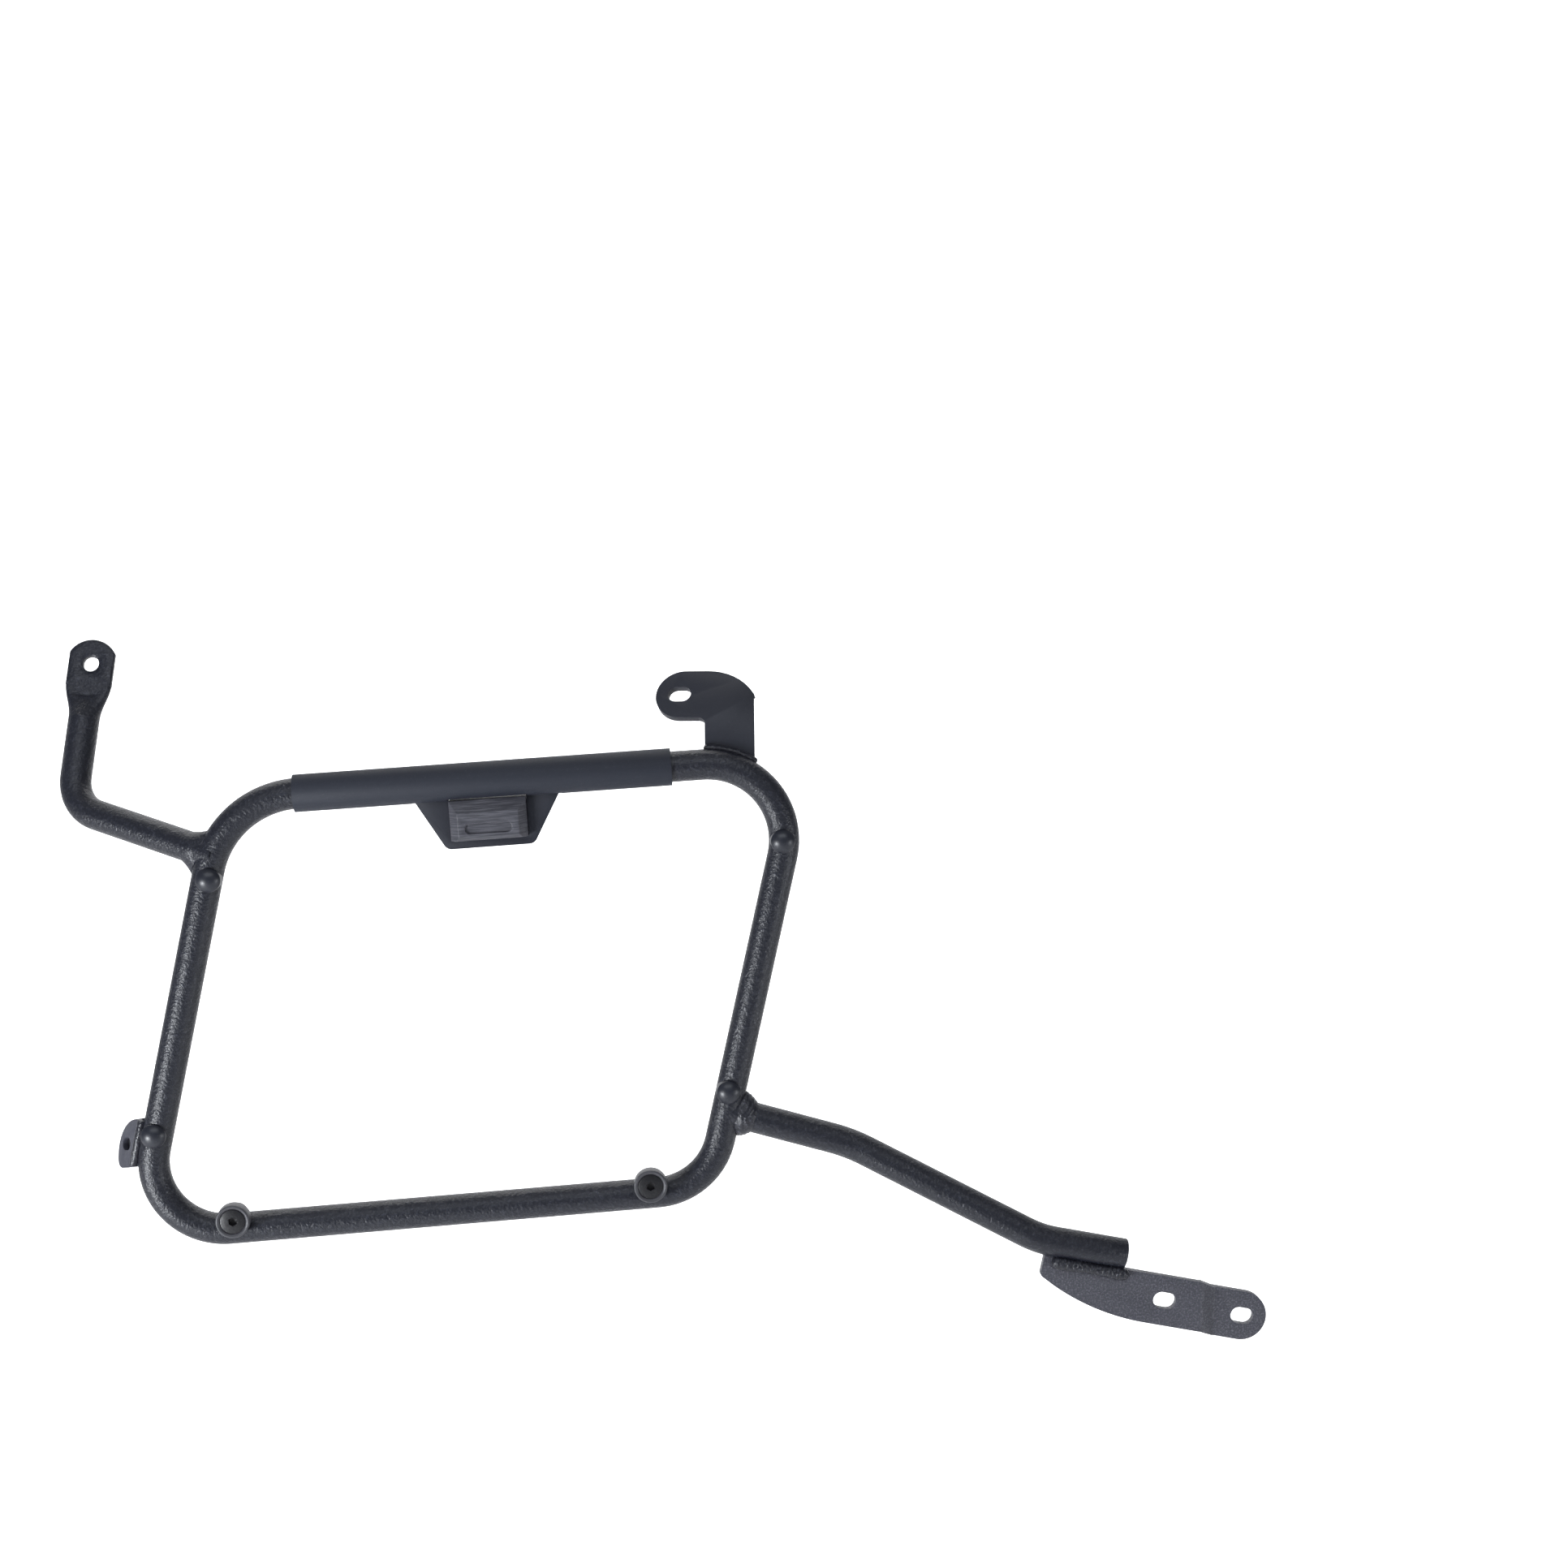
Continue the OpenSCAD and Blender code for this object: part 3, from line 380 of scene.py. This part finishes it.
# Brackets: steel plates, cut, punched with slots, folded and welded on. The footpeg's stands under
# the front strut's end and has a coarse grain; the smoother ones are on the loop's top front
# corner, low on its rear side with a nut behind, and under the top tube, where the case locks.
def edged_copy(name, node, width, material, crease=32, flat_within=1.0, segments=3):
    """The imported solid's own shape, with its triangles merged and each sharp edge rounded by width.

    Faces within flat_within degrees are made one, and an edge is sharp from crease degrees on."""
    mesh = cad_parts[node].data.copy()
    mesh.name = name
    merged = bmesh.new()
    merged.from_mesh(mesh)
    bmesh.ops.remove_doubles(merged, verts=merged.verts, dist=merge_dist)
    bmesh.ops.dissolve_limit(merged, angle_limit=np.radians(flat_within), verts=merged.verts,
                             edges=merged.edges)
    merged.to_mesh(mesh)
    merged.free()
    piece = set_on_frame(name, mesh, material, [node], crease=180)
    bevel = piece.modifiers.new("Rounded edges", "BEVEL")
    bevel.width = width / 1000
    bevel.segments = segments
    bevel.limit_method = "ANGLE"
    bevel.angle_limit = np.radians(crease)
    bevel.harden_normals = True


# The footpeg plate's grain is its own, but its base colour is painted paler than the other brackets'
# coat. That is painted light, for the light its face catches.
lit_plate_coat = coated("Grained bracket coat, painted lit", (0.042, 0.042, 0.053), (0.12, 0.12, 0.142),
                    roughness=0.42, grains=1000, depth=0.45, fleck_level=0.44)
arm_coat = coated("Smooth bracket coat", (0.012, 0.0135, 0.021), (0.02, 0.022, 0.03),
                  roughness=0.5, grains=1500, depth=0.04)
# The tab's coat is painted paler than the other brackets' coat. Its lighter base colour is painted
# light, for the light that falls on its face.
lit_tab_coat = coated("Smoother tab coat, painted lit", (0.052, 0.053, 0.066), (0.07, 0.072, 0.088),
                  roughness=0.46, grains=900, depth=0.12)
nut_coat = coated("Coat on the nut", (0.006, 0.006, 0.008), (0.012, 0.012, 0.015),
                  roughness=0.5, grains=900, depth=0.05)
edged_copy("footpeg_bracket_plate", "footpeg_bracket", 0.45, lit_plate_coat)
edged_copy("upper_bracket_plate", "upper_bracket", 0.45, arm_coat)
edged_copy("brace_tab_plate", "brace_tab", 0.4, lit_tab_coat)
edged_copy("brace_nut_hexagon", "brace_nut", 0.4, nut_coat)
edged_copy("lock_plate_plate", "lock_plate", 0.4, arm_coat)


# Catch block: moulded in one piece with sloping sides, snapped into the lock plate's window.
# Its face is rubbed to a soft shine with faint streaks.
def streaked(name, colour, streak_colour, roughness, stretch, depth):
    """A plastic with noise drawn out along X, so that its peaks are thin level streaks.

    The streaks are paler than colour and stand up from the face by as much as depth."""
    material, _ = grained(name, roughness, grains=1500)
    nodes, link = material.node_tree.nodes, material.node_tree.links.new
    place, drawn = nodes.new("ShaderNodeTexCoord"), nodes.new("ShaderNodeMapping")
    noise, share = nodes.new("ShaderNodeTexNoise"), nodes.new("ShaderNodeMapRange")
    drawn.inputs["Scale"].default_value = stretch
    noise.inputs["Scale"].default_value = 1.0
    noise.inputs["Detail"].default_value = 3.0
    share.inputs["From Min"].default_value = 0.42
    share.inputs["From Max"].default_value = 0.72
    link(place.outputs["Object"], drawn.inputs["Vector"])
    link(drawn.outputs["Vector"], noise.inputs["Vector"])
    link(noise.outputs["Fac"], share.inputs["Value"])
    tint_and_bump(material, share.outputs["Result"], noise.outputs["Fac"], colour, streak_colour,
                  depth)
    return material


catch_plastic = streaked("Rubbed moulded plastic", (0.042, 0.042, 0.051), (0.10, 0.10, 0.115),
                         roughness=0.4, stretch=(80, 80, 1500), depth=0.2)
edged_copy("catch_block_moulding", "catch_block", 0.5, catch_plastic)


# Tube cover: a moulded sleeve of matt black plastic, open in a slit along its back.
# It is clipped over the top tube and held there by its own spring.
cover_plastic = coated("Matt sleeve plastic", (0.0175, 0.020, 0.029), (0.026, 0.029, 0.040),
                       roughness=0.62, grains=1600, depth=0.04, gloss=0.3)
edged_copy("tube_cover_sleeve", "tube_cover", 0.3, cover_plastic)


# Weld beads: steel laid round each strut's foot and along the plates, then coated with the rest.
# Each is a fillet or a round bead that swells and dips where the arc paused.
weld_coat = coated("Coat over weld", (0.012, 0.0125, 0.0175), (0.06, 0.062, 0.077),
                   roughness=0.31, grains=800, depth=0.36, fleck_level=0.5)
loop_side = unit(loop_corners[3] - loop_corners[0])


def fillet(foot, ahead, leg, low_leg, climb, swell, side_swell, passes, depth):
    """Bead round a tube's foot: from a line on the loop to a ring on the tube, plus a swell.

    The line on the loop lies leg outside the tube, and low_leg below it; the ring is climb beyond
    the loop. The swell turns into side_swell on the two sides, where both tubes are as wide, and
    each pass is a ridge of depth along the bead, which wanders a little as it goes round."""
    around, across = 192, 24
    side_share, lean = 0.88, 0.6
    wander, wanders = 0.4, 5
    tuck, tuck_depth = 0.12, 0.8
    side = square_to(loop_side, ahead)
    third = np.cross(ahead, side)
    angle = np.linspace(0, 2 * np.pi, around + 1)[:, None]
    t = np.linspace(-tuck, 1 + tuck, across + 1)[None, :, None]
    c, s = np.cos(angle), np.sin(angle)
    reach = leg + (low_leg - leg) * np.maximum(-c, 0) ** 2
    low = foot + (tube_r + reach) * c * side + side_share * tube_r * s * third
    low = low + on_loop(low, ahead)[:, None] * ahead
    high = foot + tube_r * (c * side + s * third) + (tube_r + climb) * ahead
    out = unit(c * side + s * third + lean * np.abs(c) * ahead)[:, None]
    ridge = np.sin(np.pi * passes * t + wander * np.sin(wanders * angle)[:, None])
    swelling = swell + (side_swell - swell) * s[:, None] ** 2 + depth * np.abs(ridge)
    rise = np.sin(np.pi * np.clip(t, 0, 1)) * swelling - tuck_depth * (np.abs(t - 0.5) > 0.5)
    return (1 - t) * low[:, None] + t * high[:, None] + rise * out


def bead(path, radius, pitch, depth):
    """Round bead along a path, closed at both ends: radius times an end, a ripple and a swelling.

    A ripple falls by depth between the passes, pitch apart. The swelling wavers slowly, and rises
    once where the arc was struck again."""
    uneven, sharpness, least_r = 0.8, 3, 0.01
    waver, waver_length = 0.07, 5.1
    restart, restart_at, restart_length = 0.1, 0.84, 2.2
    run = np.concatenate([[0], np.cumsum(np.linalg.norm(np.diff(path, axis=0), axis=1))])
    from_end = np.minimum(run, run[-1] - run) / radius
    end = np.sqrt(np.clip(1 - (1 - from_end).clip(0) ** 2, 0, 1))
    pulse = np.abs(np.sin(np.pi * run / pitch + uneven * np.sin(run / pitch)))
    ripple = 1 - depth * (1 - pulse) ** sharpness
    again = restart * np.exp(-((run - restart_at * run[-1]) / restart_length) ** 2)
    swelling = ripple * (1 + waver * np.sin(run / waver_length) + again)
    return round_skin(path, np.maximum(radius * end * swelling, least_r), around=32)


def line(p, q, step=0.35):
    """Points from p to q about step apart."""
    return p + (q - p) * np.linspace(0, 1, int(np.linalg.norm(q - p) / step) + 2)[:, None]


rear_fillet = fillet(rear_foot, unit(rear_knee - rear_foot), leg=3.6, low_leg=6.4, climb=7.0,
                     swell=-0.5, side_swell=0.7, passes=1, depth=0)
front_fillet = fillet(front_foot, unit(front_knee - front_foot), leg=4.8, low_leg=4.0, climb=7.2,
                      swell=0.3, side_swell=1.3, passes=4, depth=0.35)
piece_of("weld_rear_strut_bead", [rear_fillet], tube_coat, ["weld_rear_strut"])
piece_of("weld_front_strut_bead", [front_fillet], weld_coat, ["weld_front_strut"])
bead_back, bead_drop, bead_apart, bead_length = 39.0, 1.9, 4.0, 42.5
for name, side in (("front", -1), ("back", 1)):
    start = (front_tip - end_up * tube_r - end_dir * bead_back - end_up * bead_drop
             + np.array([0, side * bead_apart, 0]))
    seam = line(start, start + end_dir * bead_length)
    piece_of("weld_footpeg_%s_bead" % name, [bead(seam, radius=3.3, pitch=2.7, depth=0.1)],
             weld_coat, ["weld_footpeg_%s" % name])
edged_copy("weld_upper_bracket_bead", "weld_upper_bracket", 0.05, weld_coat)
edged_copy("weld_brace_tab_bead", "weld_brace_tab", 0.05, weld_coat)


# Case pads: dished rubber pads screwed to threaded bushes that are let into the bottom tube and
# welded. A countersunk M6 screw with a hexagon socket holds each one.
full_turn = np.linspace(0, 2 * np.pi, 97)


def turned(centre, profile):
    """Profile of radius and height turned about -Y: centre + r (cos a X + sin a Z) - h Y."""
    a = full_turn[None, :]
    profile = np.asarray(profile, float)
    r = profile[:, :1] * np.ones_like(a)
    h = profile[:, 1:2] * np.ones_like(a)
    return np.asarray(centre, float) + np.stack([r * np.cos(a), -h, r * np.sin(a)], axis=-1)


pad_rubber = coated("Pad rubber", (0.045, 0.045, 0.051), (0.09, 0.09, 0.1), roughness=0.4,
                    grains=900, depth=0.06)
screw_black = coated("Black zinc", (0.006, 0.006, 0.0075), (0.03, 0.03, 0.034), roughness=0.36,
                     grains=900, depth=0.1)
pad_profile = [(3.3, 0), (8.2, 0), (8.55, 0.12), (8.7, 0.5), (8.7, 6.3), (8.6, 6.65),
               (8.35, 6.9), (7.95, 7.0), (7.5, 6.95), (6.95, 6.6), (6.6, 6.15), (6.45, 5.9),
               (6.45, 5.8), (3.3, 2.65), (3.3, 0)]
head_profile = [(0, -4.6), (3.0, -4.6), (3.0, 2.9), (6.35, 6.0), (6.4, 6.15), (6.3, 6.3),
                (6.1, 6.38)]
bush_profile = [(0, -7.95), (5.7, -7.95), (6.0, -7.6), (6.0, -0.3), (5.7, 0.0), (3.1, 0.0),
                (3.1, -6), (0, -6)]
socket_profile = [(1.08, 6.4), (1.0, 6.25), (1.0, 3.8), (0.0, 3.4)]
socket_half = 2.0
socket = socket_half / np.cos((full_turn + np.pi / 6) % (np.pi / 3) - np.pi / 6)
pad_y, pad_z = -9.0, 8.2
for name, x in (("rear", 51.8), ("front", 267.6)):
    face = (x, pad_y, pad_z)
    piece_of("puck_%s_pad" % name, [turned(face, pad_profile)], pad_rubber,
             ["puck_" + name])
    hexagon = [np.stack([x + share * socket * np.cos(full_turn),
                         np.full_like(full_turn, pad_y - height),
                         pad_z + share * socket * np.sin(full_turn)], axis=-1)
               for share, height in socket_profile]
    piece_of("puck_screw_%s_head" % name, [np.concatenate([turned(face, head_profile), hexagon])],
             screw_black, ["puck_screw_" + name], crease=30)
    piece_of("stud_bush_%s_turning" % name, [turned(face, bush_profile)], tube_coat,
             ["stud_bush_" + name])


# Domed plugs: moulded buttons of smooth black plastic, each with a plain stem.
# They are pressed into round holes in the outer face of the side tubes.
plug_plastic = coated("Smooth plug plastic", (0.012, 0.0135, 0.020), (0.02, 0.022, 0.03),
                      roughness=0.36, grains=1500, depth=0.02, gloss=0.45)
plug_r, dome_h, dome_foot, dome_share = 6.4, 3.2, 8.6, 0.995
ball_r = (plug_r ** 2 + dome_h ** 2) / (2 * dome_h)
plug_profile = [(0, 2.0), (6.2, 2.0), (plug_r, 2.2), (plug_r, 8.45)]
plug_profile += [(ball_r * np.sin(t) * dome_share, dome_foot + ball_r * np.cos(t)
                  - (ball_r - dome_h)) for t in np.linspace(np.arcsin(plug_r / ball_r), 0, 24)]
for name, x, z in (("upper_rear", 54.5, 185.6), ("lower_rear", 14.46, 54.7),
                   ("upper_front", 348.62, 183.9), ("lower_front", 311.9, 53.1)):
    piece_of("plug_%s_dome" % name, [turned((x, 0, z), plug_profile)], plug_plastic,
             ["plug_" + name])


# Studio: a white paper floor that runs up into a backdrop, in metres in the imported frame.
# Two soft boxes stand low in front of the part and a wide one above it, and a fourth lamp behind it
# washes the backdrop.
floor_z, back_y, sweep_r = -0.95, 2.6, 1.0
front_y, top_z, half_width = -6.0, 6.0, 7.0
paper_white, mirror_share, paper_glow = 0.9, 0.35, 0.8
bend = np.linspace(0, np.pi / 2, 24)
curve = np.stack([back_y - sweep_r + sweep_r * np.sin(bend),
                  floor_z + sweep_r - sweep_r * np.cos(bend)], axis=-1)
run = np.concatenate([[[front_y, floor_z]], curve, [[back_y, top_z]]])
across = np.array([[-half_width, half_width]])
sheet = np.stack(np.broadcast_arrays(across, run[:, :1], run[:, 1:]), axis=-1)
i = np.arange(len(run) * 2).reshape(-1, 2)
cells = np.stack([i[:-1, 0], i[:-1, 1], i[1:, 1], i[1:, 0]], axis=-1)
mesh = bpy.data.meshes.new("studio_sweep")
mesh.from_pydata(sheet.reshape(-1, 3).tolist(), [], cells.tolist())
mesh.polygons.foreach_set("use_smooth", np.ones(len(mesh.polygons), bool))
sweep = bpy.data.objects.new("studio_sweep", mesh)
bpy.context.scene.collection.objects.link(sweep)
white = bpy.data.materials.new("White paper")
white.use_nodes = True
nodes, link = white.node_tree.nodes, white.node_tree.links.new
paper = nodes["Principled BSDF"]
paper.inputs["Base Color"].default_value = (paper_white, paper_white, paper_white, 1)
paper.inputs["Roughness"].default_value = 1.0
paper.inputs["Specular IOR Level"].default_value = 0.0
paper.inputs["Emission Color"].default_value = (1, 1, 1, 1)
rays = nodes.new("ShaderNodeLightPath")
mirrored = math_node(nodes, "MULTIPLY", mirror_share)
seen, through = math_node(nodes, "MAXIMUM"), math_node(nodes, "MAXIMUM")
lift = math_node(nodes, "MULTIPLY", paper_glow)
link(rays.outputs["Is Glossy Ray"], mirrored.inputs[0])
link(rays.outputs["Is Camera Ray"], seen.inputs[0])
link(mirrored.outputs[0], seen.inputs[1])
link(seen.outputs[0], through.inputs[0])
link(rays.outputs["Is Transmission Ray"], through.inputs[1])
link(through.outputs[0], lift.inputs[0])
link(lift.outputs[0], paper.inputs["Emission Strength"])
mesh.materials.append(white)

world = bpy.data.worlds.new("Studio air")
world.use_nodes = True
nodes, link = world.node_tree.nodes, world.node_tree.links.new
air = nodes["Background"]
rays, tint, level = (nodes.new(kind) for kind in
                     ("ShaderNodeLightPath", "ShaderNodeMix", "ShaderNodeMapRange"))
tint.data_type = "RGBA"
tint.inputs["A"].default_value = (0.86, 0.9, 1.0, 1)
tint.inputs["B"].default_value = (1, 1, 1, 1)
level.inputs["To Min"].default_value = 0.22
level.inputs["To Max"].default_value = 1.0
link(rays.outputs["Is Camera Ray"], tint.inputs["Factor"])
link(rays.outputs["Is Camera Ray"], level.inputs["Value"])
link(tint.outputs["Result"], air.inputs["Color"])
link(level.outputs["Result"], air.inputs["Strength"])
bpy.context.scene.world = world


def soft_box(name, place, aim, size, watts, tint=(1, 1, 1)):
    """A rectangular area lamp at a place, which faces the point aim."""
    lamp = bpy.data.lights.new(name, "AREA")
    lamp.shape = "RECTANGLE"
    lamp.size, lamp.size_y = size
    lamp.energy = watts
    lamp.color = tint
    holder = bpy.data.objects.new(name, lamp)
    bpy.context.scene.collection.objects.link(holder)
    back = unit(np.asarray(place, float) - np.asarray(aim, float))
    right = unit(np.cross([0, 0, 1], back))
    turn = np.eye(4)
    turn[:3] = np.stack([right, np.cross(back, right), back, place], axis=1)
    holder.matrix_world = Matrix(turn.tolist())


middle, cool, cooler = (0.25, -0.06, -0.2), (0.93, 0.96, 1.0), (0.9, 0.94, 1.0)
soft_box("Left soft box", (-0.95, -1.10, -0.60), middle, (0.45, 0.35), 30, cool)
soft_box("Right soft box", (1.65, -0.90, -0.50), middle, (0.45, 0.35), 6, cool)
soft_box("Top soft box", (0.25, -1.2, 0.95), middle, (1.6, 0.6), 9, cooler)
soft_box("Back wash", (0.2, 1.0, 1.9), (0.2, 2.4, 0.0), (3.0, 1.0), 60)


# Camera: a 50 mm lens at the photograph's place, 1.1 m outboard of the loop.
# It is 0.13 m above the axis of the loop's top tube and 0.09 m ahead of the loop's middle.
lens = bpy.data.cameras.new("Photo camera")
lens.lens = 50.0
lens.sensor_width = 36.0
lens.clip_end = 50
camera = bpy.data.objects.new("Photo camera", lens)
bpy.context.scene.collection.objects.link(camera)
camera.matrix_world = Matrix(((0.995014, 0.071266, -0.069757, 0.2828),
                              (-0.077977, 0.119965, -0.989711, -1.1898),
                              (-0.062164, 0.990217, 0.124924, 0.0592), (0, 0, 0, 1)))
bpy.context.scene.camera = camera
bpy.context.scene.view_settings.view_transform = "Standard"
